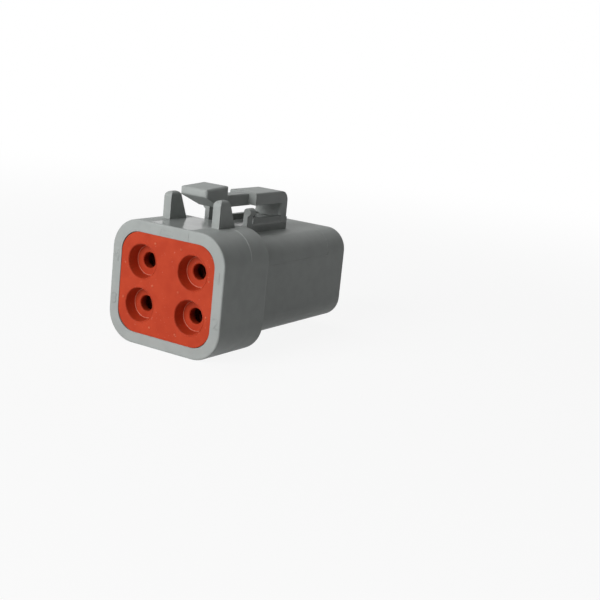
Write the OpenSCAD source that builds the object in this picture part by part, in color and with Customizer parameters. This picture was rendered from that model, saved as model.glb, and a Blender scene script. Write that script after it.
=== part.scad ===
// Sealed four-way connector, socket half.
// Millimetres. The connector lies along Y: wires enter at -Y and the mating half comes from +Y.
// The origin is at the middle of the length and width, level with the bottom of the collar.

/* [Length] */
// Length from the rear rim to the front edge of the nose
overall_len = 42.8; // [38:0.1:50]
// Length of the collar round the wire seal
collar_len = 13.2; // [11:0.1:15]

/* [Collar] */
// Corner radius of the collar
collar_r = 5.5; // [4.5:0.1:7]
// Thickness of the rim round the wire seal
rim_t = 2.05; // [1.5:0.05:2.4]
// Rounding of the collar's rear edge
rear_edge_r = 0.3; // [0.1:0.05:0.6]
// Rounding of the collar's front edge
step_edge_r = 0.5; // [0.1:0.05:0.8]

/* [Nose] */
// Step from the collar down to the nose, the wall of the mating shell
shell_step = 2.12; // [1.6:0.02:2.5]
// How far the middle of the nose lies below the middle of the collar
nose_drop = 0.2; // [0:0.05:0.4]
// Corner radius of the nose
nose_r = 4.2; // [3.4:0.1:5]
// Wall of the nose
nose_wall = 1.1; // [0.9:0.05:1.3]
// Gap between the nose and the sides of the tower
side_gap = 0.93; // [0.85:0.01:1.2]
// Gap between the nose and the top and bottom of the tower, before the drop
top_gap = 1.305; // [1.2:0.005:1.5]
// Distance from the contacts' stop to the floor of the gap round the tower
gap_floor = 1.5; // [1:0.1:2.5]
// Rounding of the nose's front edge
nose_edge_r = 0.45; // [0.1:0.05:0.5]

/* [Cavities] */
// Spacing of the cavities across the width
pitch_x = 11; // [10.6:0.05:11.4]
// Spacing of the cavities up the height
pitch_z = 7.75; // [7.4:0.05:8.2]
// Wall of the tower outside each contact
tower_wall = 0.45; // [0.4:0.05:0.6]
// How far the wedge lock lies behind the front edge of the nose
tower_set_back = 2; // [1:0.1:3]
// Distance from the rear rim to the stop that the contacts rest on
stop_y = 24; // [23:0.1:25]
// Thinnest wall between a cavity and the slot for the legs of the wedge lock
slot_wall = 0.35; // [0.25:0.05:0.6]
// Wall of the tower above and below that slot
slot_roof = 1.3; // [1:0.05:1.6]

/* [Locking fingers] */
// Length of a locking finger
finger_len = 7; // [6:0.1:7.8]
// Width of a locking finger
finger_w = 2.4; // [2:0.1:2.8]
// Thickness of a locking finger
finger_t = 0.65; // [0.5:0.05:0.8]
// Slit on each side of a finger
finger_slit = 0.45; // [0.3:0.05:0.6]
// Length of the flat on a finger's barb
barb_len = 1.4; // [1:0.1:2]
// Length of the ramp up to the barb
barb_ramp = 2; // [1.5:0.1:3]
// Length of the window past the tip of a finger
finger_relief = 0.6; // [0.3:0.1:1]
// Gap between the tip of a finger and the collar of its contact
finger_gap = 0.05; // [0.03:0.01:0.1]

/* [Wire seal] */
// Depth of the wire seal
seal_len = 9.4; // [8:0.1:10]
// How far the wire seal lies inside the rim
seal_sink = 0.1; // [0.05:0.05:0.4]
// Corner radius of the pocket for the wire seal
seal_r = 3.7; // [3:0.1:5]
// How much larger the seal's own corner radius is
seal_corner_gap = 0.35; // [0.1:0.05:0.6]
// Radius of the mouth of each wire hole
mouth_r = 3.02; // [2.7:0.02:3.2]
// Radius of the floor of the mouth
mouth_floor_r = 2.65; // [2.3:0.05:2.9]
// Depth of the mouth
mouth_depth = 2; // [1.4:0.1:2.6]
// Radius of the lands that grip a wire
wire_hole_r = 1.38; // [1.35:0.01:1.45]
// Lead into the first land
land_lead = 0.15; // [0.05:0.05:0.3]
// Depth of the two grooves between the lands
land_groove = 0.5; // [0.3:0.05:0.6]

/* [Contacts] */
// Radius of the bore that takes a pin
pin_bore_r = 1.2; // [1.1:0.01:1.25]
// Depth of that bore
pin_bore_len = 10; // [8:0.1:11]
// Length of a contact behind the stop
contact_tail_len = 13; // [12.4:0.1:13.4]
// Length of the crimp round the insulation
grip_len = 3.6; // [3:0.1:3.8]
// Length of the crimp round the strands
crimp_len = 4.6; // [4:0.1:4.8]
// How far the front of a contact lies behind the wedge lock
contact_set_back = 1.8; // [1.2:0.1:2.4]
// How far the spring tines lie behind the front of the sleeve
tine_set_back = 0.4; // [0.3:0.05:0.6]
// Width of the slits between the tines
tine_slit = 0.35; // [0.25:0.05:0.45]
// Outer radius of the sleeve
sleeve_r = 2.1; // [2:0.01:2.15]
// Sheet thickness of the sleeve
sleeve_t = 0.22; // [0.18:0.01:0.28]
// Width of the lip at the front of the sleeve
sleeve_lip = 0.4; // [0.3:0.05:0.45]
// Sheet thickness of the rolled crimps
sheet_t = 0.4; // [0.3:0.05:0.5]
// Radius of the collar that rests on the stop
collar_ring_r = 2.45; // [2.4:0.01:2.5]
// Length of that collar
collar_ring_len = 2; // [1.5:0.1:2.4]
// Outer radius of the crimp round the insulation
grip_r = 2; // [1.95:0.05:2.2]
// Outer radius of the crimp round the strands
crimp_r = 1.2; // [1.15:0.05:1.25]
// Clearance round the sleeve in its cavity
contact_clear = 0.05; // [0.03:0.01:0.08]

/* [Wedge lock] */
// Thickness of the plate
wedge_plate_t = 1.6; // [1.2:0.1:2]
// Reach of the legs past the tips of the locking fingers
wedge_overlap = 4.4; // [3:0.1:5]
// Thickness of a leg
wedge_leg_t = 1.25; // [1:0.05:1.5]
// Clearance of the legs in their slot
wedge_clear = 0.05; // [0.04:0.01:0.08]
// Radius of the pin holes in the plate
pin_way_r = 1.8; // [1.7:0.05:1.9]
// Width of the countersink round a pin hole
pin_way_lead = 0.5; // [0.3:0.05:0.6]
// Thickness of the two webs that join the legs
wedge_web_t = 1.2; // [0.8:0.1:1.6]
// Length of those webs
wedge_web_len = 11.2; // [8:0.1:12]
// Width of the hole for a hook that pulls the wedge lock out
hook_w = 2.2; // [1.8:0.1:3]
// Height of that hole
hook_h = 3; // [2.4:0.1:4]

/* [Interface seal] */
// Length of the interface seal
face_seal_len = 5.5; // [4.5:0.1:6.5]
// Length of the flange at the root of the seal
face_flange_len = 1.5; // [1.2:0.1:2]
// Thickness of the seal between its ribs
face_seal_t = 0.4; // [0.3:0.05:0.5]
// Clearance between the ribs and the nose
face_rib_clear = 0.18; // [0.1:0.02:0.25]
// Width of a rib
face_rib_w = 0.6; // [0.4:0.1:0.8]

/* [Thumb guards and posts] */
// Distance between the two thumb guards
guard_gap = 9.2; // [8.4:0.1:10]
// Thickness of a thumb guard
guard_t = 1.6; // [1.3:0.1:2]
// Height of a thumb guard above the collar
guard_h = 4.9; // [4:0.1:5.5]
// Distance from the rear rim to a thumb guard
guard_y = 5.7; // [4.5:0.1:6.5]
// Length of a thumb guard at its foot
guard_len = 4.7; // [4:0.1:6]
// Length of a thumb guard at its top
guard_top_len = 2.9; // [2.6:0.1:3.6]
// Distance between the two small posts
post_gap = 7.7; // [7:0.1:8.4]
// Width of a small post
post_w = 0.95; // [0.85:0.05:1.4]
// Length of a small post
post_len = 1.6; // [1.4:0.1:2.4]
// Distance from the front of the collar to a small post
post_y = 2.8; // [2:0.1:3.4]
// Height of a small post above the top of the collar
post_h = 2.75; // [2:0.05:3.2]

/* [Latch] */
// Width of the head of the latch and of the platform under it
head_w = 6; // [5.4:0.1:6.8]
// Width of the arm
arm_w = 2.6; // [2.2:0.1:3.2]
// Width of the thumb pad
pad_w = 5.8; // [5:0.1:7]
// Gap between the top of the collar and the arm
arm_gap = 2.55; // [2.4:0.05:3]
// Thickness of the arm
arm_t = 2.15; // [1.8:0.05:2.4]
// Length of the head, from its shoulders to its front
head_len = 10.5; // [9:0.1:11]
// Thickness of the front wall that carries the latch
latch_wall_t = 2.1; // [1.8:0.05:2.4]
// Distance from the rear rim to the front of the latch
latch_front_y = 31.3; // [30.5:0.1:32]
// Rounding of the head's top front edge
head_nose_r = 2; // [1.5:0.1:2.2]
// Length of the thumb pad
pad_len = 6.5; // [5.5:0.1:6.8]
// Distance from the rear rim to the thumb pad
pad_y = 5.8; // [5:0.1:6.5]
// Height of the pad's rear edge above the top of the arm
pad_rise = 1.6; // [1.2:0.05:2]
// Slope of the top of the pad, in degrees
pad_slope = 3.5; // [0:0.5:6]
// Thickness of the pad at its rear edge
pad_t = 1.55; // [1.3:0.05:2]
// Rounding of the pad's edges
pad_edge_r = 0.55; // [0.3:0.05:0.7]
// Rounding of the arm's top edges
arm_edge_r = 0.3; // [0.1:0.05:0.5]
// Rounding of the wall's rear corners
wall_edge_r = 0.5; // [0.2:0.05:0.8]
// Rounding of the head's top edges
head_edge_r = 0.35; // [0.1:0.05:0.6]
// Height of the platform's floor above the nose
platform_h = 1.6; // [1.3:0.05:1.8]
// Height of the rails above the floor
rail_h = 1; // [0.7:0.05:1.2]
// Thickness of a rail
rail_t = 0.8; // [0.6:0.05:1.2]
// Clearance of the latch's foot in its seat
hinge_clear = 0.04; // [0.03:0.01:0.08]

/* [Hidden] */
$fn = 64;
eps = 0.01;
// Tower round the cavities, then nose and collar round the tower
cavity_r = sleeve_r + contact_clear;
cavity_rear_r = collar_ring_r + 2 * contact_clear;
tower_r = cavity_r + tower_wall;
tower_w = pitch_x + 2 * tower_r;
tower_h = pitch_z + 2 * tower_r;
nose_in_w = tower_w + 2 * side_gap;
nose_in_h = tower_h + 2 * top_gap;
nose_in_r = nose_r - nose_wall;
nose_w = nose_in_w + 2 * nose_wall;
nose_h = nose_in_h + 2 * nose_wall;
collar_w = nose_w + 2 * shell_step;
collar_h = nose_h + 2 * shell_step;
mid_z = collar_h / 2;
nose_z = mid_z - nose_drop;
nose_top = nose_z + nose_h / 2;
gap_floor_y = stop_y + gap_floor;
// Locking fingers and wedge lock
slot_w = pitch_x - 2 * cavity_rear_r - 2 * slot_wall;
slot_h = tower_h - 2 * slot_roof;
wedge_front_y = overall_len - tower_set_back;
tower_front_y = wedge_front_y - wedge_plate_t;
ring_rear_y = stop_y - collar_ring_len;
finger_tip_y = ring_rear_y - finger_gap;
finger_root_y = finger_tip_y - finger_len;
barb_reach = cavity_rear_r - crimp_r - 3 * contact_clear;
slot_rear_y = finger_root_y - 1;
wedge_tip_y = finger_tip_y - wedge_overlap;
web_rear_y = tower_front_y - wedge_web_len;
web_w = slot_w / 2 + wedge_leg_t;
web_z = slot_h / 2 - 1.25 * wedge_web_t;
// Wire seal
seal_w = collar_w - 2 * rim_t;
seal_h = collar_h - 2 * rim_t;
seal_front_y = seal_sink + seal_len;
land_len = (seal_len - mouth_depth) / 5;
// Contacts
contact_front_y = tower_front_y - contact_set_back;
contact_rear_y = stop_y - contact_tail_len;
sleeve_in_r = sleeve_r - sleeve_t;
neck_len = 1.1;
crimp_rear_y = contact_rear_y + grip_len + neck_len;
tine_r = sleeve_in_r - 0.15;
tine_root = 3.2;
tine_front_y = contact_front_y - tine_set_back;
pin_vent_r = 0.7;
// Latch
hinge_y = latch_front_y - latch_wall_t / 2;
rail_top = nose_top + platform_h + rail_h;
hinge_z = rail_top - 0.3;
arm_z = collar_h + arm_gap;
arm_top = arm_z + arm_t;
head_y = latch_front_y - head_len;
head_z = arm_z + 0.15;
head_top = arm_top + 0.25;
platform_front_y = hinge_y + latch_wall_t / 2 + hinge_clear + 0.3;
rail_rear_y = head_y - 0.3;
pad_front_y = pad_y + pad_len;

// Sides of the middle that cavities 1 to 4 lie on, across and up: clockwise seen from the wires.
cavity_sides = [[1, 1], [1, -1], [-1, -1], [-1, 1]];

// ---------- helpers ----------

// Moves the model from the rear rim to the origin at half its length.
module place() {
    translate([0, -overall_len / 2, 0]) children();
}

// Extrudes an X-Z outline from y0 to y1.
module prism_y(y0, y1) {
    translate([0, y1, 0]) rotate([90, 0, 0]) linear_extrude(y1 - y0) children();
}

// Extrudes a Y-Z outline over a width centred on x.
module prism_x(x, width) {
    translate([x - width / 2, 0, 0]) rotate([90, 0, 90]) linear_extrude(width) children();
}

// Turns a radius-length outline about the Y axis through (x, z).
module turn_y(x, z) {
    translate([x, 0, z]) rotate([-90, 0, 0]) rotate_extrude() children();
}

// Cylinder along Y.
module rod_y(x, z, y0, y1, r1, r2) {
    translate([x, y0, z]) rotate([-90, 0, 0]) cylinder(h = y1 - y0, r1 = r1, r2 = r2);
}

// Rectangle with round corners, centred on (0, z).
module round_rect(w, h, r, z) {
    translate([0, z]) {
        square([w - 2 * r, h], center = true);
        square([w, h - 2 * r], center = true);
        for (sx = [-1, 1], sz = [-1, 1]) {
            translate([sx * (w / 2 - r), sz * (h / 2 - r)]) circle(r);
        }
    }
}

// Rectangle from (x0, y0) to (x1, y1) with its lower corners rounded by e0 and its upper ones by e1.
module edge_rect(x0, x1, y0, y1, e0, e1) {
    translate([x0, y0 + e0]) square([x1 - x0, y1 - y0 - e0 - e1]);
    edge_end(x0, x1, y0 + e0, e0);
    edge_end(x0, x1, y1 - e1, e1);
}

// Band from x0 to x1 about the height y, with round ends of radius e.
module edge_end(x0, x1, y, e) {
    if (e > 0) {
        translate([x0 + e, y - e]) square([x1 - x0 - 2 * e, 2 * e]);
        for (x = [x0 + e, x1 - e]) {
            translate([x, y]) circle(e);
        }
    }
}

// Block along Y with round corners of radius r and rounded rear (e0) and front (e1) edges.
module soft_block(w, h, r, z, y0, y1, e0, e1) {
    for (sx = [-1, 1], sz = [-1, 1]) {
        turn_y(sx * (w / 2 - r), z + sz * (h / 2 - r)) intersection() {
            edge_rect(-r, r, y0, y1, e0, e1);
            translate([0, y0]) square([r, y1 - y0]);
        }
    }
    translate([0, 0, z - h / 2 + r]) linear_extrude(h - 2 * r) edge_rect(-w / 2, w / 2, y0, y1, e0, e1);
    translate([-w / 2 + r, 0, z]) rotate([0, 90, 0]) linear_extrude(w - 2 * r) {
        edge_rect(-h / 2, h / 2, y0, y1, e0, e1);
    }
}

// Sets its children in one cavity, with their -X side towards the middle of the connector.
module in_cavity(side) {
    translate([side[0] * pitch_x / 2, 0, mid_z + side[1] * pitch_z / 2]) {
        if (side[0] < 0) {
            mirror([1, 0, 0]) children();
        } else {
            children();
        }
    }
}

// Repeats its children in the four cavities.
module at_cavities() {
    for (side = cavity_sides) {
        in_cavity(side) children();
    }
}

// ---------- housing ----------

// Cavity for one contact, wide up to the stop and close round the sleeve past it.
module cavity() {
    rod_y(0, 0, seal_front_y - eps, stop_y, cavity_rear_r, cavity_rear_r);
    rod_y(0, 0, stop_y - eps, tower_front_y + 1, cavity_r, cavity_r);
    rod_y(0, 0, seal_front_y - eps, seal_front_y + 1, cavity_rear_r + 0.5, cavity_rear_r);
}

// Window in the wall between a cavity and the slot, on the side that faces the middle.
module finger_window() {
    width = finger_w + 2 * finger_slit;
    reach = (pitch_x - slot_w) / 2;
    translate([-reach - eps, finger_root_y, -width / 2]) {
        cube([reach, finger_tip_y + finger_relief - finger_root_y, width]);
    }
}

// Locking finger: fixed at the rear, with a barb at its tip behind the contact's collar.
module finger() {
    face_x = -(pitch_x - slot_w) / 2;
    barb_x = -cavity_rear_r + barb_reach;
    translate([0, 0, -finger_w / 2]) linear_extrude(finger_w) polygon([
        [face_x, finger_root_y - eps],
        [face_x + finger_t, finger_root_y - eps],
        [face_x + finger_t, finger_tip_y - barb_len - barb_ramp],
        [barb_x, finger_tip_y - barb_len],
        [barb_x, finger_tip_y],
        [face_x, finger_tip_y]
    ]);
}

// Thumb guard: upright behind, sloped in front, with a round top.
module guard() {
    foot_z = collar_h - 0.5;
    top_z = collar_h + guard_h;
    round_r = 1.1;
    front_x = guard_y + guard_top_len;
    intersection() {
        prism_x(0, guard_t) {
            translate([guard_y, foot_z]) square([guard_top_len - round_r, guard_h + 0.5 - round_r]);
            translate([guard_y + round_r, foot_z]) square([guard_top_len - 2 * round_r, guard_h + 0.5]);
            for (y = [guard_y + round_r, front_x - round_r]) {
                translate([y, top_z - round_r]) circle(round_r);
            }
            polygon([
                [front_x - round_r, foot_z],
                [guard_y + guard_len, foot_z],
                [guard_y + guard_len, collar_h],
                [front_x - round_r + 1.075, top_z - round_r + 0.23],
                [front_x - round_r, top_z - round_r]
            ]);
        }
        prism_y(guard_y - 1, guard_y + guard_len + 1) {
            translate([0, collar_h + guard_h - guard_t / 2]) circle(guard_t / 2);
            translate([-guard_t / 2, foot_z]) square([guard_t, guard_h + 0.5 - guard_t / 2]);
        }
    }
}

// Small post in front of the collar, rounded at the top of its inner side.
module post() {
    round_r = 0.75;
    y0 = collar_len + post_y;
    z0 = nose_top - 0.5;
    z1 = collar_h + post_h;
    prism_y(y0, y0 + post_len) {
        translate([-post_w / 2, z0]) square([post_w, z1 - z0 - round_r]);
        translate([-post_w / 2 + round_r, z0]) square([post_w - round_r, z1 - z0]);
        translate([-post_w / 2 + round_r, z1 - round_r]) circle(round_r);
    }
}

// Platform under the latch, with a rail along each side and the seat of the latch's foot.
module platform() {
    difference() {
        union() {
            prism_y(collar_len - 0.5, platform_front_y) {
                translate([-head_w / 2, nose_top - 0.5]) square([head_w, platform_h + 0.5]);
            }
            for (side = [-1, 1]) {
                prism_x(side * (head_w - rail_t) / 2, rail_t) polygon([
                    [rail_rear_y, nose_top],
                    [rail_rear_y, rail_top - 0.3],
                    [rail_rear_y + 0.3, rail_top],
                    [platform_front_y, rail_top],
                    [platform_front_y, nose_top]
                ]);
            }
            prism_x(0, head_w) translate([hinge_y - latch_wall_t, nose_top]) {
                square([platform_front_y - hinge_y + latch_wall_t, hinge_z - nose_top]);
            }
        }
        prism_x(0, head_w + 1) {
            translate([hinge_y, hinge_z]) circle(latch_wall_t / 2 + hinge_clear);
            translate([hinge_y - latch_wall_t / 2 - 3 * hinge_clear, hinge_z]) {
                square([latch_wall_t + 2, rail_h + 1]);
            }
        }
    }
}

module housing_outside() {
    soft_block(collar_w, collar_h, collar_r, mid_z, 0, collar_len, rear_edge_r, step_edge_r);
    soft_block(nose_w, nose_h, nose_r, nose_z, collar_len - 2, overall_len, 0, nose_edge_r);
    platform();
    for (side = [-1, 1]) {
        translate([side * (guard_gap + guard_t) / 2, 0, 0]) guard();
    }
    translate([(post_gap + post_w) / 2, 0, 0]) post();
    mirror([1, 0, 0]) translate([(post_gap + post_w) / 2, 0, 0]) post();
}

module housing() {
    color([0.56, 0.58, 0.56]) place() {
        difference() {
            housing_outside();
            prism_y(-1, seal_front_y) round_rect(seal_w, seal_h, seal_r, mid_z);
            prism_y(gap_floor_y, overall_len + 1) difference() {
                round_rect(nose_in_w, nose_in_h, nose_in_r, nose_z);
                round_rect(tower_w, tower_h, tower_r, mid_z);
            }
            prism_y(tower_front_y, overall_len + 1) round_rect(nose_in_w, nose_in_h, nose_in_r, nose_z);
            translate([-slot_w / 2, slot_rear_y, mid_z - slot_h / 2]) {
                cube([slot_w, overall_len - slot_rear_y, slot_h]);
            }
            at_cavities() cavity();
            at_cavities() finger_window();
        }
        at_cavities() finger();
    }
}

// ---------- latch ----------

// Side view of the thumb pad, with its sloped top and its underside running down to the arm.
module pad_profile() {
    e = pad_edge_r;
    rear_top = arm_top + pad_rise;
    front_top = rear_top + pad_len * tan(pad_slope);
    hull() {
        translate([pad_y + e, rear_top - e]) circle(e);
        translate([pad_y + e, rear_top - pad_t + e]) circle(e);
        translate([pad_front_y - e, front_top - e]) circle(e);
        translate([pad_front_y - e, arm_z + e]) circle(e);
    }
}

// Plan of the thumb pad.
module pad_plan() {
    e = pad_edge_r;
    translate([-pad_w / 2 + e, pad_y]) square([pad_w - 2 * e, pad_len]);
    translate([-pad_w / 2, pad_y + e]) square([pad_w, pad_len - 2 * e]);
    for (x = [-pad_w / 2 + e, pad_w / 2 - e], y = [pad_y + e, pad_front_y - e]) {
        translate([x, y]) circle(e);
    }
}

// Side view of the head, with its front top edge rounded.
module head_profile() {
    round_y = latch_front_y - head_nose_r;
    translate([head_y, head_z]) square([head_len - head_nose_r, head_top - head_z]);
    translate([head_y, head_z]) square([head_len, head_top - head_nose_r - head_z]);
    intersection() {
        translate([round_y, head_top - head_nose_r]) circle(head_nose_r);
        translate([round_y, head_z]) square([head_nose_r, head_top - head_z]);
    }
}

// Plan of the wall that carries the head, with its rear corners rounded.
module wall_plan() {
    r = wall_edge_r;
    rear_y = hinge_y - latch_wall_t / 2;
    translate([-head_w / 2, rear_y + r]) square([head_w, latch_wall_t - r]);
    translate([-head_w / 2 + r, rear_y]) square([head_w - 2 * r, latch_wall_t]);
    for (x = [-head_w / 2 + r, head_w / 2 - r]) {
        translate([x, rear_y + r]) circle(r);
    }
}

// Outline across the latch, w wide, from z0 up to z1, with its top corners rounded by e.
module across(w, z0, z1, e) {
    translate([-w / 2, z0]) square([w, z1 - z0 - e]);
    translate([-w / 2 + e, z0]) square([w - 2 * e, z1 - z0]);
    for (x = [-w / 2 + e, w / 2 - e]) {
        translate([x, z1 - e]) circle(e);
    }
}

module latch_lever() {
    e = pad_edge_r;
    color([0.56, 0.58, 0.56]) place() {
        intersection() {
            prism_x(0, pad_w) pad_profile();
            translate([0, 0, arm_z - eps]) linear_extrude(2 * (pad_rise + arm_t)) pad_plan();
            translate([0, pad_y, arm_top + pad_rise]) rotate([pad_slope, 0, 0]) {
                prism_y(-1, 2 * pad_len) across(pad_w, -pad_rise - 2 * arm_t, 0, e);
            }
        }
        prism_y(pad_front_y - e, head_y + 0.5) across(arm_w, arm_z, arm_top, arm_edge_r);
        intersection() {
            prism_x(0, head_w) head_profile();
            prism_y(head_y - 1, latch_front_y + 1) {
                across(head_w, head_z - eps, head_top, head_edge_r);
            }
        }
        translate([0, 0, hinge_z]) linear_extrude(head_z + eps - hinge_z) wall_plan();
        prism_x(0, head_w) translate([hinge_y, hinge_z]) circle(latch_wall_t / 2);
    }
}

// ---------- seals ----------

// Hole for one wire: tapered mouth, and three lands with a groove between each two.
module wire_hole() {
    turn_y(0, 0) {
        translate([0, -1]) square([mouth_r, 1 + eps]);
        polygon([[0, 0], [mouth_r, 0], [mouth_floor_r, mouth_depth], [0, mouth_depth]]);
        polygon([
            [0, mouth_depth - eps],
            [wire_hole_r + land_lead, mouth_depth - eps],
            [wire_hole_r, mouth_depth + land_lead],
            [0, mouth_depth + land_lead]
        ]);
        translate([0, mouth_depth]) square([wire_hole_r, seal_len + 1 - mouth_depth]);
        for (i = [1, 3]) {
            translate([0, mouth_depth + i * land_len]) square([wire_hole_r + land_groove, land_len]);
        }
    }
}

module wire_seal() {
    color([0.74, 0.27, 0.16]) place() translate([0, seal_sink, 0]) {
        difference() {
            prism_y(0, seal_len) round_rect(seal_w, seal_h, seal_r + seal_corner_gap, mid_z);
            at_cavities() wire_hole();
        }
    }
}

// Ring round the tower, swollen by the amount given.
module tower_ring(swell) {
    difference() {
        round_rect(tower_w + 2 * swell, tower_h + 2 * swell, tower_r + swell, mid_z);
        round_rect(tower_w, tower_h, tower_r, mid_z);
    }
}

module interface_seal() {
    rib_swell = side_gap - face_rib_clear;
    rib_pitch = (face_seal_len - face_flange_len) / 3;
    color([0.80, 0.30, 0.14]) place() {
        prism_y(gap_floor_y, gap_floor_y + face_flange_len) difference() {
            round_rect(nose_in_w, nose_in_h, nose_in_r, nose_z);
            round_rect(tower_w, tower_h, tower_r, mid_z);
        }
        prism_y(gap_floor_y + face_flange_len - eps, gap_floor_y + face_seal_len) tower_ring(face_seal_t);
        for (i = [1, 2, 3]) {
            y = gap_floor_y + face_flange_len + (i - 0.5) * rib_pitch;
            prism_y(y - face_rib_w / 2, y + face_rib_w / 2) tower_ring(rib_swell);
        }
    }
}

// ---------- wedge lock ----------

// Leg beside the locking fingers, thinner at its tip.
module wedge_leg() {
    outer = slot_w / 2 - wedge_clear;
    half_h = slot_h / 2 - 2 * wedge_clear;
    translate([0, 0, mid_z - half_h]) linear_extrude(2 * half_h) polygon([
        [outer, tower_front_y + eps],
        [outer, wedge_tip_y + 1],
        [outer - 0.4, wedge_tip_y],
        [outer - wedge_leg_t, wedge_tip_y],
        [outer - wedge_leg_t, tower_front_y + eps]
    ]);
}

module wedge_lock() {
    color([0.93, 0.42, 0.10]) place() {
        difference() {
            union() {
                prism_y(tower_front_y, wedge_front_y) round_rect(tower_w, tower_h, tower_r, mid_z);
                wedge_leg();
                mirror([1, 0, 0]) wedge_leg();
                for (side = [-1, 1]) {
                    translate([-web_w / 2, web_rear_y, mid_z + side * web_z - wedge_web_t / 2]) {
                        cube([web_w, tower_front_y + eps - web_rear_y, wedge_web_t]);
                    }
                }
            }
            at_cavities() {
                rod_y(0, 0, tower_front_y - 1, wedge_front_y + 1, pin_way_r, pin_way_r);
                lead_y = wedge_front_y - pin_way_lead;
                rod_y(0, 0, lead_y, wedge_front_y + eps, pin_way_r, pin_way_r + pin_way_lead);
            }
            translate([-hook_w / 2, tower_front_y - 1, mid_z - hook_h / 2]) {
                cube([hook_w, wedge_plate_t + 2, hook_h]);
            }
        }
    }
}

// ---------- contacts ----------

// Rolled crimp: a tube with a seam along its top.
module rolled(y0, length, r) {
    difference() {
        rod_y(0, 0, y0, y0 + length, r, r);
        rod_y(0, 0, y0 - 1, y0 + length + 1, r - sheet_t, r - sheet_t);
        translate([-0.12, y0 - 1, 0]) cube([0.24, length + 2, r + 1]);
    }
}

// Trough along the bottom that joins one part of a contact, of radius r0, to the next, of radius r1.
module trough(y0, length, r0, r1) {
    r = max(r0, r1);
    intersection() {
        difference() {
            rod_y(0, 0, y0, y0 + length, r0, r1);
            rod_y(0, 0, y0 - eps, y0 + length + eps, r0 - sheet_t, r1 - sheet_t);
        }
        translate([-r, y0, -r]) cube([2 * r, length, r - r1 / 3]);
    }
}

module contact_body() {
    weld = 0.2;
    link_len = ring_rear_y - crimp_rear_y - crimp_len + 2 * weld;
    color([0.74, 0.73, 0.70]) {
        rolled(contact_rear_y, grip_len, grip_r);
        trough(contact_rear_y + grip_len - weld, neck_len + 2 * weld, grip_r, crimp_r);
        rolled(crimp_rear_y, crimp_len, crimp_r);
        trough(crimp_rear_y + crimp_len - weld, link_len, crimp_r, crimp_r);
        difference() {
            union() {
                rod_y(0, 0, ring_rear_y, stop_y, collar_ring_r, collar_ring_r);
                rod_y(0, 0, stop_y - eps, stop_y + 2, sleeve_in_r, sleeve_in_r);
                rod_y(0, 0, stop_y + 2 - eps, tine_front_y, tine_r, tine_r);
            }
            rod_y(0, 0, tine_front_y - pin_bore_len, contact_front_y, pin_bore_r, pin_bore_r);
            rod_y(0, 0, ring_rear_y - 1, tine_front_y, pin_vent_r, pin_vent_r);
            for (turn = [0, 90]) {
                rotate([0, turn, 0]) translate([-tine_slit / 2, stop_y + tine_root, -sleeve_r]) {
                    cube([tine_slit, contact_front_y - stop_y, 2 * sleeve_r]);
                }
            }
        }
    }
}

module contact_sleeve() {
    color([0.80, 0.80, 0.81]) turn_y(0, 0) {
        translate([sleeve_in_r, stop_y]) square([sleeve_t, contact_front_y - stop_y]);
        translate([sleeve_r - sleeve_lip, contact_front_y - sleeve_t]) square([sleeve_lip, sleeve_t]);
    }
}

housing();
latch_lever();
wire_seal();
interface_seal();
wedge_lock();
for (i = [1 : 4]) {
    side = cavity_sides[i - 1];
    place() in_cavity(side) contact_body();
    place() in_cavity(side) contact_sleeve();
}
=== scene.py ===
"""Looks of a sealed four-way connector: its finishes, its small moulded details and the studio.

Lengths are metres, in the frame of the solids. The wires enter from -Y and the latch is on top, at +Z.
"""

import logging
import math
from collections.abc import Iterable
from dataclasses import dataclass, field
from enum import Enum

import bpy
from mathutils import Euler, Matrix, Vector


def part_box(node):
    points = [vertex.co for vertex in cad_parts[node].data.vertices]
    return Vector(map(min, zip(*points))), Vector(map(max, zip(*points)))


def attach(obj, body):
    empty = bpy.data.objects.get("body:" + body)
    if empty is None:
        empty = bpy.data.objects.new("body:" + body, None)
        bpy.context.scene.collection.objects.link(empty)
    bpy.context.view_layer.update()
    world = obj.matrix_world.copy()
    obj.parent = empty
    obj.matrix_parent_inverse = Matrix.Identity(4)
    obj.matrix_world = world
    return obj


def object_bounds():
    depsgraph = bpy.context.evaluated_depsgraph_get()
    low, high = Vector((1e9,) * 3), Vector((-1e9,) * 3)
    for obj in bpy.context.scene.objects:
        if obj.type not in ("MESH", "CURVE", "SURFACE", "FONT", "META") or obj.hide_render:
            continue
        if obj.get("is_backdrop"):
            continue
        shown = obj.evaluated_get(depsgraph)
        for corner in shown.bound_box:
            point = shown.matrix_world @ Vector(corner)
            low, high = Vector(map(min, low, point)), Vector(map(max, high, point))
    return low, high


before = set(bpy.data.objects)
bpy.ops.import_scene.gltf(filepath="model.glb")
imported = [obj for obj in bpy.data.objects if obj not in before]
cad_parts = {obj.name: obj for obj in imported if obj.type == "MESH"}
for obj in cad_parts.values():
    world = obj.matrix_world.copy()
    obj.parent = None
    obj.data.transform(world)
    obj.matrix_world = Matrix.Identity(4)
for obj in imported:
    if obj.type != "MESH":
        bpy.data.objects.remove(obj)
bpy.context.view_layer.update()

MM = 0.001
LOG = logging.getLogger("connector")

WHITE = (1.0, 1.0, 1.0, 1.0)

Colour = tuple[float, float, float]


# ---------- shader maths ----------


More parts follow.
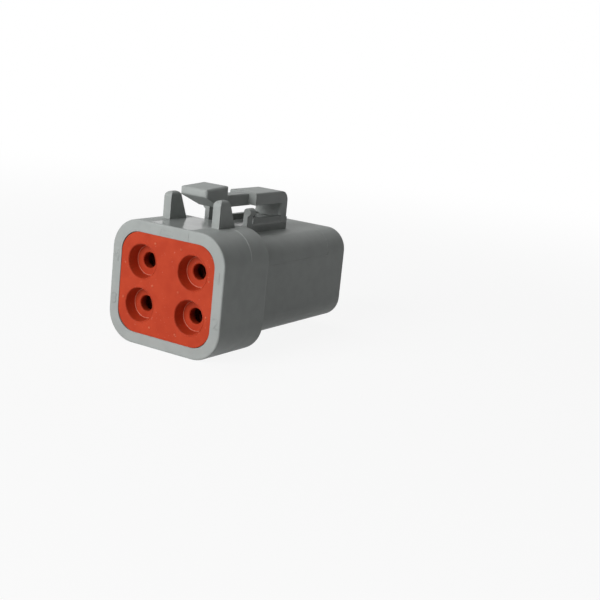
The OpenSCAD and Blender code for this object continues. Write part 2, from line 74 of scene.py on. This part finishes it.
class Value:
    """A shader socket that takes part in Python arithmetic, each operation adding one Math node."""

    def __init__(self, graph: "Graph", socket: bpy.types.NodeSocket) -> None:
        """Wraps an output socket of a graph."""
        self.graph = graph
        self.socket = socket

    def _math(self, operation: str, *values: "Value | float") -> "Value":
        """Adds a Math node.

        Args:
            operation: the Math node's operation.
            *values: its inputs in order.

        Returns:
            The node's result.
        """
        return self.graph.node("ShaderNodeMath", {"operation": operation}, dict(enumerate(values)))

    def __add__(self, other: "Value | float") -> "Value":
        """Sum."""
        return self._math("ADD", self, other)

    def __sub__(self, other: "Value | float") -> "Value":
        """Difference."""
        return self._math("SUBTRACT", self, other)

    def __rsub__(self, other: float) -> "Value":
        """Difference from a number."""
        return self._math("SUBTRACT", other, self)

    def __mul__(self, other: "Value | float") -> "Value":
        """Product."""
        return self._math("MULTIPLY", self, other)

    def __gt__(self, other: "Value | float") -> "Value":
        """1 where this is more than the other, else 0."""
        return self._math("GREATER_THAN", self, other)

    def __lt__(self, other: "Value | float") -> "Value":
        """1 where this is less than the other, else 0."""
        return self._math("LESS_THAN", self, other)

    def __abs__(self) -> "Value":
        """Size without its sign."""
        return self._math("ABSOLUTE", self)

    __radd__ = __add__
    __rmul__ = __mul__

    def clamped(self) -> "Value":
        """The value held between 0 and 1."""
        return self.graph.node("ShaderNodeClamp", {}, {"Value": self})

    def ramped(self, low: float, high: float) -> "Value":
        """Rises smoothly from 0 at low to 1 at high."""
        return self.graph.node(
            "ShaderNodeMapRange",
            {"interpolation_type": "SMOOTHSTEP"},
            {"Value": self, "From Min": low, "From Max": high},
        )


class Graph:
    """The emptied node tree of a new material or of the world."""

    def __init__(self, owner: bpy.types.Material | bpy.types.World) -> None:
        """Empties the owner's node tree."""
        owner.use_nodes = True
        self.owner = owner
        self.tree = owner.node_tree
        self.tree.nodes.clear()

    @staticmethod
    def named(name: str) -> "Graph":
        """The graph of a new material with this name."""
        return Graph(bpy.data.materials.new(name))

    def node(
        self, kind: str, settings: dict[str, object], inputs: dict[str | int, object], output: str | int = 0
    ) -> Value:
        """Adds any node.

        Args:
            kind: the node's type.
            settings: its properties, set before its sockets.
            inputs: a number, colour or Value for each socket, by name or place.
            output: the socket to return.

        Returns:
            The chosen output.
        """
        made = self.tree.nodes.new(kind)
        for key, value in settings.items():
            setattr(made, key, value)
        for key, value in inputs.items():
            if isinstance(value, Value):
                self.tree.links.new(value.socket, made.inputs[key])
            else:
                made.inputs[key].default_value = value
        return Value(self, made.outputs[output])

    def place(self) -> Value:
        """Object coordinates, in metres."""
        return self.node("ShaderNodeTexCoord", {}, {}, "Object")

    def axes(self) -> tuple[Value, Value, Value]:
        """X, Y and Z of the object coordinates, each as a value in metres."""
        split = self.node("ShaderNodeSeparateXYZ", {}, {"Vector": self.place()})
        outputs = split.socket.node.outputs
        return tuple(Value(self, outputs[axis]) for axis in "XYZ")

    def noise(self, size: float, detail: float = 3.0, roughness: float = 0.55) -> Value:
        """Noise in three dimensions.

        Args:
            size: length of one feature, in metres.
            detail: octaves of finer noise.
            roughness: strength of the finer octaves.

        Returns:
            The noise, from 0 to 1.
        """
        inputs = {"Vector": self.place(), "Scale": 1 / size, "Detail": detail, "Roughness": roughness}
        return self.node("ShaderNodeTexNoise", {}, inputs)

    def blend(self, mask: Value, low: object, high: object) -> Value:
        """Mixes two colours by a mask, low where it is 0 and high where it is 1."""
        made = self.tree.nodes.new("ShaderNodeMix")
        made.data_type = "RGBA"
        sockets = {s.identifier: s for s in made.inputs}
        self.tree.links.new(mask.socket, sockets["Factor_Float"])
        for key, value in (("A_Color", low), ("B_Color", high)):
            if isinstance(value, Value):
                self.tree.links.new(value.socket, sockets[key])
            else:
                sockets[key].default_value = (*value, 1.0)
        return Value(self, next(s for s in made.outputs if s.identifier == "Result_Color"))

    def bump(self, height: Value, distance: float, edge: float = 0.0) -> Value:
        """Bump from a height, over softened edges.

        Args:
            height: the surface's height, from 0 to 1.
            distance: what a height of 1 stands for, in metres.
            edge: radius of the softened edges, in metres, or 0 for none.

        Returns:
            The surface's normal.
        """
        inputs: dict[str | int, object] = {"Height": height, "Distance": distance, "Strength": 1.0}
        if edge:
            inputs["Normal"] = self.node("ShaderNodeBevel", {"samples": 6}, {"Radius": edge})
        return self.node("ShaderNodeBump", {}, inputs)

    def seen(self) -> Value:
        """1 for what the camera, mirrors and glass see, and 0 for the light that a surface gathers."""
        rays = self.node("ShaderNodeLightPath", {}, {}, "Is Camera Ray").socket.node.outputs
        kinds = ("Is Camera Ray", "Is Glossy Ray", "Is Transmission Ray")
        return sum(Value(self, rays[kind]) for kind in kinds).clamped()

    def finish(self, surface: Value, output: str = "ShaderNodeOutputMaterial") -> bpy.types.ID:
        """Sends a shader to the output and returns the owner."""
        end = self.tree.nodes.new(output)
        self.tree.links.new(surface.socket, end.inputs["Surface"])
        return self.owner


# ---------- finishes ----------


@dataclass(frozen=True)
class Patch:
    """A flat stretch of a moulding that the mould left polished, as an upright box."""

    half_width: float
    rear: float
    front: float
    bottom: float
    top: float

    def mask(self, graph: Graph) -> Value:
        """1 inside the patch and 0 outside."""
        x, y, z = graph.axes()
        inside = (abs(x) < self.half_width) * (y > self.rear) * (y < self.front)
        return inside * (z > self.bottom) * (z < self.top)


@dataclass(frozen=True)
class MouldedPlastic:
    """Nylon from a spark-eroded mould, with polished patches."""

    name: str
    colour: Colour
    roughness: float
    grain: float = 0.16 * MM
    grain_depth: float = 0.012 * MM
    edge: float = 0.15 * MM
    cloud: float = 3.2 * MM
    mottle: float = 0.04
    roughness_swing: float = 0.08
    polish_roughness: float = 0.16
    gloss: float = 0.3
    index: float = 1.53
    polished: tuple[Patch, ...] = ()

    def material(self) -> bpy.types.Material:
        """Builds the material."""
        graph = Graph.named(self.name)
        cloud = graph.noise(self.cloud, 2.0)
        grain = graph.noise(self.grain, 2.0, 0.6)
        dark = tuple(c * (1 - self.mottle) for c in self.colour)
        light = tuple(min(1.0, c * (1 + self.mottle)) for c in self.colour)
        colour = graph.blend(cloud.ramped(0.35, 0.65), dark, light)
        roughness = self.roughness + (cloud - 0.5) * self.roughness_swing
        height = grain
        for patch in self.polished:
            mask = patch.mask(graph)
            roughness = roughness * (1 - mask) + self.polish_roughness * mask
            height = height * (1 - mask)
        surface = graph.node(
            "ShaderNodeBsdfPrincipled",
            {},
            {
                "Base Color": colour,
                "Roughness": roughness.clamped(),
                "Normal": graph.bump(height, self.grain_depth, self.edge),
                "IOR": self.index,
                "Specular IOR Level": self.gloss,
            },
        )
        return graph.finish(surface)


@dataclass(frozen=True)
class Silicone:
    """Moulded rubber with pale dust specks, darker inside its holes where less light gets in."""

    name: str
    colour: Colour
    deep: Colour
    roughness: float
    gloss: float = 0.22
    index: float = 1.42
    cloud: float = 2.6 * MM
    skin: float = 0.09 * MM
    skin_depth: float = 0.006 * MM
    edge: float = 0.12 * MM
    speck: float = 0.32 * MM
    speck_range: tuple[float, float] = (0.735, 0.775)
    speck_share: float = 0.22
    speck_colour: Colour = (0.80, 0.45, 0.36)
    shade: tuple[float, float] = (-20.0 * MM, -16.5 * MM)
    shade_left: float = 0.22

    def material(self) -> bpy.types.Material:
        """Builds the material."""
        graph = Graph.named(self.name)
        cloud = graph.noise(self.cloud, 3.0)
        skin = graph.noise(self.skin, 2.0)
        speck = graph.noise(self.speck, 1.0).ramped(*self.speck_range)
        colour = graph.blend(cloud.ramped(0.3, 0.7), self.deep, self.colour)
        colour = graph.blend(speck * self.speck_share, colour, self.speck_colour)
        _, y, _ = graph.axes()
        dark = tuple(c * self.shade_left for c in self.deep)
        colour = graph.blend(y.ramped(*self.shade), colour, dark)
        surface = graph.node(
            "ShaderNodeBsdfPrincipled",
            {},
            {
                "Base Color": colour,
                "Roughness": (self.roughness + (skin - 0.5) * 0.2 + speck * 0.2).clamped(),
                "Normal": graph.bump(skin, self.skin_depth, self.edge),
                "IOR": self.index,
                "Specular IOR Level": self.gloss,
            },
        )
        return graph.finish(surface)


@dataclass(frozen=True)
class PlatedMetal:
    """Plated sheet metal, with fine drawing marks along its length."""

    name: str
    colour: Colour
    roughness: float
    mark: float = 0.07 * MM
    mark_depth: float = 0.003 * MM
    stretch: float = 0.06
    edge: float = 0.05 * MM
    cloud: float = 1.1 * MM
    dulling: float = 0.8

    def material(self) -> bpy.types.Material:
        """Builds the material."""
        graph = Graph.named(self.name)
        stretch = {"Vector": graph.place(), "Scale": (1.0, self.stretch, 1.0)}
        drawn = graph.node("ShaderNodeMapping", {"vector_type": "POINT"}, stretch)
        inputs = {"Vector": drawn, "Scale": 1 / self.mark, "Detail": 2.0}
        marks = graph.node("ShaderNodeTexNoise", {}, inputs)
        cloud = graph.noise(self.cloud)
        dull = tuple(c * self.dulling for c in self.colour)
        surface = graph.node(
            "ShaderNodeBsdfPrincipled",
            {},
            {
                "Base Color": graph.blend(cloud.ramped(0.3, 0.7), dull, self.colour),
                "Metallic": 1.0,
                "Roughness": (self.roughness + (cloud - 0.5) * 0.2 + (marks - 0.5) * 0.1).clamped(),
                "Normal": graph.bump(marks, self.mark_depth, self.edge),
            },
        )
        return graph.finish(surface)


# Top of the collar between the guards, and floor of the latch platform.
POLISH = (
    Patch(4.4 * MM, -21.0 * MM, -7.9 * MM, 21.9 * MM, 22.1 * MM),
    Patch(3.05 * MM, -8.2 * MM, 12.0 * MM, 21.0 * MM, 21.4 * MM),
)


class Finish(Enum):
    """The finishes of this connector."""

    HOUSING = MouldedPlastic("housing_plastic", (0.325, 0.345, 0.335), 0.52, polished=POLISH)
    SEAM = MouldedPlastic("seam_plastic", (0.50, 0.52, 0.51), 0.45)
    WEDGE = MouldedPlastic("wedge_plastic", (0.80, 0.20, 0.02), 0.30, grain_depth=0.004 * MM)
    WIRE_SEAL = Silicone("wire_seal_rubber", (0.47, 0.050, 0.016), (0.42, 0.040, 0.012), 0.45)
    # Paler rubber for the vent nubs.
    PALE_NUB_RUBBER = Silicone("pale_nub_rubber", (0.62, 0.14, 0.07), (0.52, 0.09, 0.04), 0.5)
    # Paler rubber on the crease bead rings: a painted highlight along the rounded crease of each mouth, whose
    # rounding the rings model.
    CREASE_BEAD_HIGHLIGHT = Silicone("bead_rubber_painted_highlight", (0.70, 0.26, 0.18), (0.64, 0.20, 0.13), 0.30, 0.5, shade_left=1.0)
    FACE_SEAL = Silicone(
        "interface_seal_rubber", (0.62, 0.12, 0.03), (0.55, 0.09, 0.02), 0.40, shade_left=1.0
    )
    CONTACT = PlatedMetal("contact_alloy", (0.62, 0.60, 0.56), 0.30)
    SLEEVE = PlatedMetal("sleeve_steel", (0.70, 0.70, 0.71), 0.24)


class Palette:
    """Makes each finish once and hands it out."""

    def __init__(self) -> None:
        """Starts with nothing made."""
        self.made: dict[Finish, bpy.types.Material] = {}

    def get(self, finish: Finish) -> bpy.types.Material:
        """The material of a finish, built the first time that it is asked for."""
        if finish not in self.made:
            self.made[finish] = finish.value.material()
        return self.made[finish]


# ---------- modelling by operators ----------


class Bench:
    """Adds primitives and shapes them with Blender's operators."""

    @staticmethod
    def clear() -> None:
        """Leaves edit mode and deselects everything."""
        if bpy.context.object and bpy.context.object.mode != "OBJECT":
            bpy.ops.object.mode_set(mode="OBJECT")
        bpy.ops.object.select_all(action="DESELECT")

    @staticmethod
    def only(piece: bpy.types.Object) -> None:
        """Makes one object the only selected one."""
        Bench.clear()
        piece.select_set(True)
        bpy.context.view_layer.objects.active = piece

    @staticmethod
    def dot(name: str, at: Vector) -> bpy.types.Object:
        """A single vertex, made from a plane merged at its middle.

        Args:
            name: the new object's name.
            at: the vertex's place.

        Returns:
            The object, in edit mode, with the vertex selected.
        """
        Bench.clear()
        bpy.ops.mesh.primitive_plane_add(size=MM, location=at)
        piece = bpy.context.object
        piece.name = name
        bpy.ops.object.transform_apply(location=True, rotation=True, scale=True)
        bpy.ops.object.mode_set(mode="EDIT")
        bpy.ops.mesh.select_all(action="SELECT")
        bpy.ops.mesh.merge(type="CENTER")
        return piece

    @staticmethod
    def wire(name: str, route: list[Vector], radius: float, closed: bool = False) -> bpy.types.Object:
        """A fine round line along a route, half sunk where the route lies on a surface.

        Args:
            name: the new object's name.
            route: its points in order.
            radius: the line's radius.
            closed: whether its ends meet.

        Returns:
            The line as a mesh.
        """
        piece = Bench.dot(name, route[0])
        for here, there in zip(route, route[1:]):
            bpy.ops.mesh.extrude_region_move(TRANSFORM_OT_translate={"value": there - here})
        if closed:
            bpy.ops.mesh.select_all(action="SELECT")
            bpy.ops.mesh.remove_doubles(threshold=0.002 * MM)
        Bench.only(piece)
        bpy.ops.object.convert(target="CURVE")
        piece = bpy.context.object
        piece.data.bevel_depth = radius
        piece.data.bevel_resolution = 1
        piece.data.use_fill_caps = not closed
        bpy.ops.object.convert(target="MESH")
        return bpy.context.object

    @staticmethod
    def joined(name: str, parts: list[bpy.types.Object]) -> bpy.types.Object:
        """Joins meshes into one object at the origin."""
        Bench.clear()
        for part in parts:
            part.select_set(True)
        bpy.context.view_layer.objects.active = parts[0]
        if len(parts) > 1:
            bpy.ops.object.join()
        piece = bpy.context.object
        piece.name = name
        bpy.ops.object.transform_apply(location=True, rotation=True, scale=True)
        return piece

    @staticmethod
    def repeated(name: str, first: bpy.types.Object, places: Iterable[Vector]) -> bpy.types.Object:
        """Copies a shape modelled at the origin to each place, and joins the copies.

        Args:
            name: the joined object's name.
            first: the shape, which is used up.
            places: where each copy goes.

        Returns:
            The joined object.
        """
        copies = []
        for place in places:
            Bench.only(first)
            bpy.ops.object.duplicate()
            copy = bpy.context.object
            copy.location = place
            copies.append(copy)
        bpy.data.objects.remove(first)
        return Bench.joined(name, copies)

    @staticmethod
    def smooth(piece: bpy.types.Object, degrees: float = 35.0) -> None:
        """Smooth shading, broken where faces meet at more than an angle."""
        Bench.only(piece)
        bpy.ops.object.shade_smooth_by_angle(angle=math.radians(degrees))


def dress(piece: bpy.types.Object, material: bpy.types.Material, body: str) -> None:
    """Gives a new piece its material and its body.

    Args:
        piece: the new piece.
        material: its material.
        body: the body that it moves with.
    """
    piece.data.materials.clear()
    piece.data.materials.append(material)
    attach(piece, body)
    LOG.info("%s: %d faces", piece.name, len(piece.data.polygons))


# ---------- pieces ----------


@dataclass
class CadFinishes:
    """Finishes of the solids themselves."""

    palette: Palette
    finishes: dict[str, Finish] = field(
        default_factory=lambda: {
            "housing": Finish.HOUSING,
            "latch_lever": Finish.HOUSING,
            "wire_seal": Finish.WIRE_SEAL,
            "interface_seal": Finish.FACE_SEAL,
            "wedge_lock": Finish.WEDGE,
            "contact_body": Finish.CONTACT,
            "contact_sleeve": Finish.SLEEVE,
        }
    )

    def apply(self) -> None:
        """Assigns a material to each solid."""
        for name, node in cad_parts.items():
            kind = next(key for key in self.finishes if name.startswith(key))
            node.data.materials.clear()
            node.data.materials.append(self.palette.get(self.finishes[kind]))
            LOG.info("%s: %s", name, self.finishes[kind].name)


@dataclass
class WireSealDetails:
    """Vent nubs on the rear face of the wire seal, the rings of its mouths, and a bead ring at the crease of
    each mouth, coloured paler than the seal as a painted highlight.
    """

    palette: Palette
    hole_x: float = 5.5 * MM
    hole_z: float = 3.875 * MM
    ring_radius: float = 3.16 * MM
    ring_swell: float = 0.07 * MM
    bead_radius: float = 2.63 * MM
    bead_swell: float = 0.05 * MM
    bead_depth: float = 1.97 * MM
    nub_radius: float = 0.2 * MM
    nub_height: float = 0.13 * MM
    nub_sink: float = 0.4
    nub_x: float = 2.85 * MM
    nub_z: float = 7.45 * MM
    side_nub_x: float = 9.2 * MM
    side_nub_z: float = 3.1 * MM

    def middle(self) -> Vector:
        """Middle of the seal's rear face."""
        low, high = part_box("wire_seal")
        return Vector(((low.x + high.x) / 2, low.y, (low.z + high.z) / 2))

    def rings(self, name: str, radius: float, swell: float, depth: float) -> bpy.types.Object:
        """A fine round ring in each mouth.

        Args:
            name: the rings' name.
            radius: radius of a ring's middle line.
            swell: radius of its section.
            depth: how far it lies inside the seal's rear face.

        Returns:
            The four rings.
        """
        Bench.clear()
        bpy.ops.mesh.primitive_torus_add(
            major_radius=radius, minor_radius=swell, major_segments=96, minor_segments=8,
            rotation=(math.pi / 2, 0, 0),
        )
        ring = bpy.context.object
        bpy.ops.object.transform_apply(location=True, rotation=True, scale=True)
        middle = self.middle() + Vector((0, depth, 0))
        offsets = [(sx * self.hole_x, sz * self.hole_z) for sx in (-1, 1) for sz in (-1, 1)]
        places = [middle + Vector((x, 0, z)) for x, z in offsets]
        return Bench.repeated(name, ring, places)

    def nubs(self) -> bpy.types.Object:
        """Ten vent nubs, flattened domes, in a paler rubber than the seal."""
        Bench.clear()
        bpy.ops.mesh.primitive_uv_sphere_add(segments=16, ring_count=12, radius=self.nub_radius)
        nub = bpy.context.object
        bpy.ops.object.mode_set(mode="EDIT")
        bpy.ops.mesh.select_all(action="SELECT")
        cut = (0, self.nub_sink * self.nub_radius, 0)
        bpy.ops.mesh.bisect(plane_co=cut, plane_no=(0, 1, 0), clear_outer=True, use_fill=True)
        bpy.ops.mesh.select_all(action="SELECT")
        bpy.ops.transform.resize(value=(1, self.nub_height / self.nub_radius, 1))
        Bench.clear()
        middle = self.middle()
        spots = [(sx * self.nub_x, z) for sx in (-1, 1) for z in (-self.nub_z, 0.0, self.nub_z)]
        spots += [(sx * self.side_nub_x, sz * self.side_nub_z) for sx in (-1, 1) for sz in (-1, 1)]
        return Bench.repeated("wire_seal_nubs", nub, [middle + Vector((x, 0, z)) for x, z in spots])

    def build(self) -> None:
        """Makes and dresses the details."""
        lips = self.rings("wire_seal_mouth_rings", self.ring_radius, self.ring_swell, 0.0)
        # The crease bead rings get the paler rubber as a painted highlight.
        highlight_beads = self.rings("wire_seal_mouth_highlight_beads", self.bead_radius, self.bead_swell, self.bead_depth)
        made = ((lips, Finish.WIRE_SEAL), (highlight_beads, Finish.CREASE_BEAD_HIGHLIGHT), (self.nubs(), Finish.PALE_NUB_RUBBER))
        for piece, finish in made:
            Bench.smooth(piece)
            dress(piece, self.palette.get(finish), "shell")


@dataclass
class Corner:
    """Upper corner of a rounded block along Y, for routes that hug it."""

    half_width: float
    top: float
    radius: float
    side: int
    steps: int = 14

    def at_side(self, y: float, z: float) -> Vector:
        """Point on the flat side."""
        return Vector((self.side * self.half_width, y, z))

    def over(self, y0: float, z0: float, y1: float, x1: float) -> list[Vector]:
        """Route from the side, over the corner, to the top.

        Args:
            y0: place along the block at the side.
            z0: height of the first point, on the side.
            y1: place along the block at the top.
            x1: distance of the last point from the middle, on the top.

        Returns:
            The route's points.
        """
        points = [(self.half_width, z0)]
        for step in range(self.steps + 1):
            angle = step / self.steps * math.pi / 2
            x = self.half_width - self.radius + self.radius * math.cos(angle)
            z = self.top - self.radius + self.radius * math.sin(angle)
            if z > z0 and x > x1:
                points.append((x, z))
        points.append((x1, self.top))
        last = len(points) - 1
        return [Vector((self.side * x, y0 + (y1 - y0) * i / last, z)) for i, (x, z) in enumerate(points)]


@dataclass
class HousingDetails:
    """Fine marks that the mould left on the housing."""

    palette: Palette
    line: float = 0.03 * MM
    seam: float = 0.05 * MM
    digit_height: float = 2.9 * MM
    digit_rise: float = 0.02 * MM
    digit_x: float = 11.2 * MM
    mid_z: float = 11.0 * MM
    cavity_z: float = 3.875 * MM

    def insert_mark(self) -> bpy.types.Object:
        """Outline of a mould insert at the top of the rim, and the joint line beside it."""
        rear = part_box("housing")[0].y
        left, right, bottom, top = -1.75 * MM, 0.85 * MM, 20.35 * MM, 21.1 * MM
        corners = [(left, bottom), (right, bottom), (right, top), (left, top), (left, bottom)]
        frame_line = Bench.wire("insert_outline", [Vector((x, rear, z)) for x, z in corners], self.line, True)
        joint_x = 4.2 * MM
        joint = [Vector((joint_x, rear, z)) for z in (20.1 * MM, 21.8 * MM)]
        return Bench.joined("rim_insert_mark", [frame_line, Bench.wire("insert_joint", joint, self.line)])

    def seams(self) -> bpy.types.Object:
        """Parting lines of the two mould slides, on the nose and over the upper corners of the collar."""
        _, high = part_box("housing")
        made = []
        for side in (-1, 1):
            nose = Corner(10.13 * MM, 19.675 * MM, 4.2 * MM, side)
            side_z = 15.25 * MM
            route = [nose.at_side(-4.7 * MM, side_z)]
            route += nose.over(14.7 * MM, side_z, 16.0 * MM, 4.85 * MM)
            made.append(Bench.wire("nose_seam", route, self.seam))
            collar = Corner(high.x, 22.0 * MM, 5.5 * MM, side)
            route = collar.over(-13.66 * MM, 17.27 * MM, -12.74 * MM, 6.38 * MM)
            made.append(Bench.wire("collar_seam", route, self.seam))
        return Bench.joined("housing_seams", made)

    def digits(self) -> bpy.types.Object:
        """Raised numbers 1 to 4 on the rim, beside the cavities."""
        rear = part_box("housing")[0].y
        sides = {"1": (1, 1), "2": (1, -1), "3": (-1, -1), "4": (-1, 1)}
        made = []
        for text, (sx, sz) in sides.items():
            Bench.clear()
            bpy.ops.object.text_add()
            label = bpy.context.object
            label.data.body = text
            label.data.size = self.digit_height
            label.data.extrude = self.digit_rise
            label.data.align_x = "CENTER"
            label.data.align_y = "CENTER"
            bpy.ops.object.convert(target="MESH")
            label = bpy.context.object
            label.rotation_euler = (math.pi / 2, 0, 0)
            label.location = (sx * self.digit_x, rear, self.mid_z + sz * self.cavity_z)
            Bench.only(label)
            bpy.ops.object.transform_apply(location=True, rotation=True, scale=True)
            made.append(label)
        return Bench.joined("rim_cavity_numbers", made)

    def build(self) -> None:
        """Makes and dresses the details."""
        made = (
            (self.insert_mark(), Finish.HOUSING),
            (self.seams(), Finish.SEAM),
            (self.digits(), Finish.HOUSING),
        )
        for piece, finish in made:
            dress(piece, self.palette.get(finish), "shell")


# ---------- studio ----------


@dataclass
class Studio:
    """Camera, floor and lamps."""

    camera_place: Vector = field(default_factory=lambda: Vector((120.18, -171.79, 53.97)) * MM)
    heading: float = 31.68
    dip: float = 12.51
    roll: float = 5.90
    lens: float = 68.48
    sensor: float = 36.0
    floor_size: float = 3.0
    floor_grey: float = 0.75
    floor_glow: float = 0.90
    shadow_reach: tuple[float, float] = (0.06, 0.30)
    air: float = 0.03

    def camera(self) -> None:
        """Sets the camera up."""
        data = bpy.data.cameras.new("camera")
        data.lens = self.lens
        data.sensor_width = self.sensor
        data.clip_start = 5 * MM
        data.clip_end = 10.0
        eye = bpy.data.objects.new("camera", data)
        turn = Euler((0, 0, math.radians(self.heading))).to_matrix()
        turn = turn @ Euler((math.radians(90 - self.dip), 0, 0)).to_matrix()
        turn = turn @ Euler((0, 0, math.radians(self.roll))).to_matrix()
        eye.matrix_world = turn.to_4x4()
        eye.location = self.camera_place
        bpy.context.collection.objects.link(eye)
        bpy.context.scene.camera = eye

    def lamp(self, name: str, place: Vector, size: float, watts: float) -> None:
        """Adds a square soft lamp aimed at the connector.

        Args:
            name: the lamp's name.
            place: where it stands.
            size: length of its side.
            watts: its power.
        """
        data = bpy.data.lights.new(name, "AREA")
        data.size = size
        data.energy = watts
        lamp = bpy.data.objects.new(name, data)
        lamp.location = place
        target = Vector((0, 0, 11 * MM))
        lamp.rotation_euler = (target - place).to_track_quat("-Z", "Y").to_euler()
        bpy.context.collection.objects.link(lamp)

    def seen_white(self, graph: Graph, plain: Value, share: Value) -> Value:
        """Mixes white into what the camera, mirrors and glass see of a backdrop.

        Args:
            graph: the backdrop's nodes.
            plain: its plain shader.
            share: how much of what they see is plain white.

        Returns:
            The mixed shader.
        """
        white = graph.node("ShaderNodeEmission", {}, {"Color": WHITE, "Strength": 1.0})
        return graph.node("ShaderNodeMixShader", {}, {0: graph.seen() * share, 1: plain, 2: white})

    def floor(self) -> None:
        """Adds the pale floor under the connector's lowest point."""
        Bench.clear()
        low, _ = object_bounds()
        bpy.ops.mesh.primitive_plane_add(size=self.floor_size, location=(0, 0, low.z - 0.01 * MM))
        floor = bpy.context.object
        floor.name = "floor"
        graph = Graph.named("pale_floor")
        grey = (self.floor_grey,) * 3 + (1.0,)
        plain = graph.node("ShaderNodeBsdfDiffuse", {}, {"Color": grey})
        distance = graph.node("ShaderNodeVectorMath", {"operation": "LENGTH"}, {0: graph.place()}, "Value")
        glow = distance.ramped(*self.shadow_reach) * (1 - self.floor_glow) + self.floor_glow
        floor.data.materials.append(graph.finish(self.seen_white(graph, plain, glow)))
        floor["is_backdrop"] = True

    def world(self) -> None:
        """White surroundings, which light the connector softly."""
        bpy.context.scene.world = bpy.data.worlds.new("studio")
        graph = Graph(bpy.context.scene.world)
        strength = graph.seen() * (1 - self.air) + self.air
        surface = graph.node("ShaderNodeBackground", {}, {"Color": WHITE, "Strength": strength})
        graph.finish(surface, "ShaderNodeOutputWorld")

    def build(self) -> None:
        """Sets up the whole studio."""
        self.camera()
        self.floor()
        self.world()
        self.lamp("rear_lamp", Vector((-0.10, -0.50, 0.20)), 0.35, 2.9)
        self.lamp("top_lamp", Vector((-0.20, 0.05, 0.50)), 0.30, 0.62)
        bpy.context.scene.view_settings.view_transform = "Standard"


def main() -> None:
    """Builds everything in order."""
    logging.basicConfig(level=logging.INFO, format="%(message)s")
    palette = Palette()
    Studio().build()
    CadFinishes(palette).apply()
    WireSealDetails(palette).build()
    HousingDetails(palette).build()


if __name__ == "__main__":
    main()
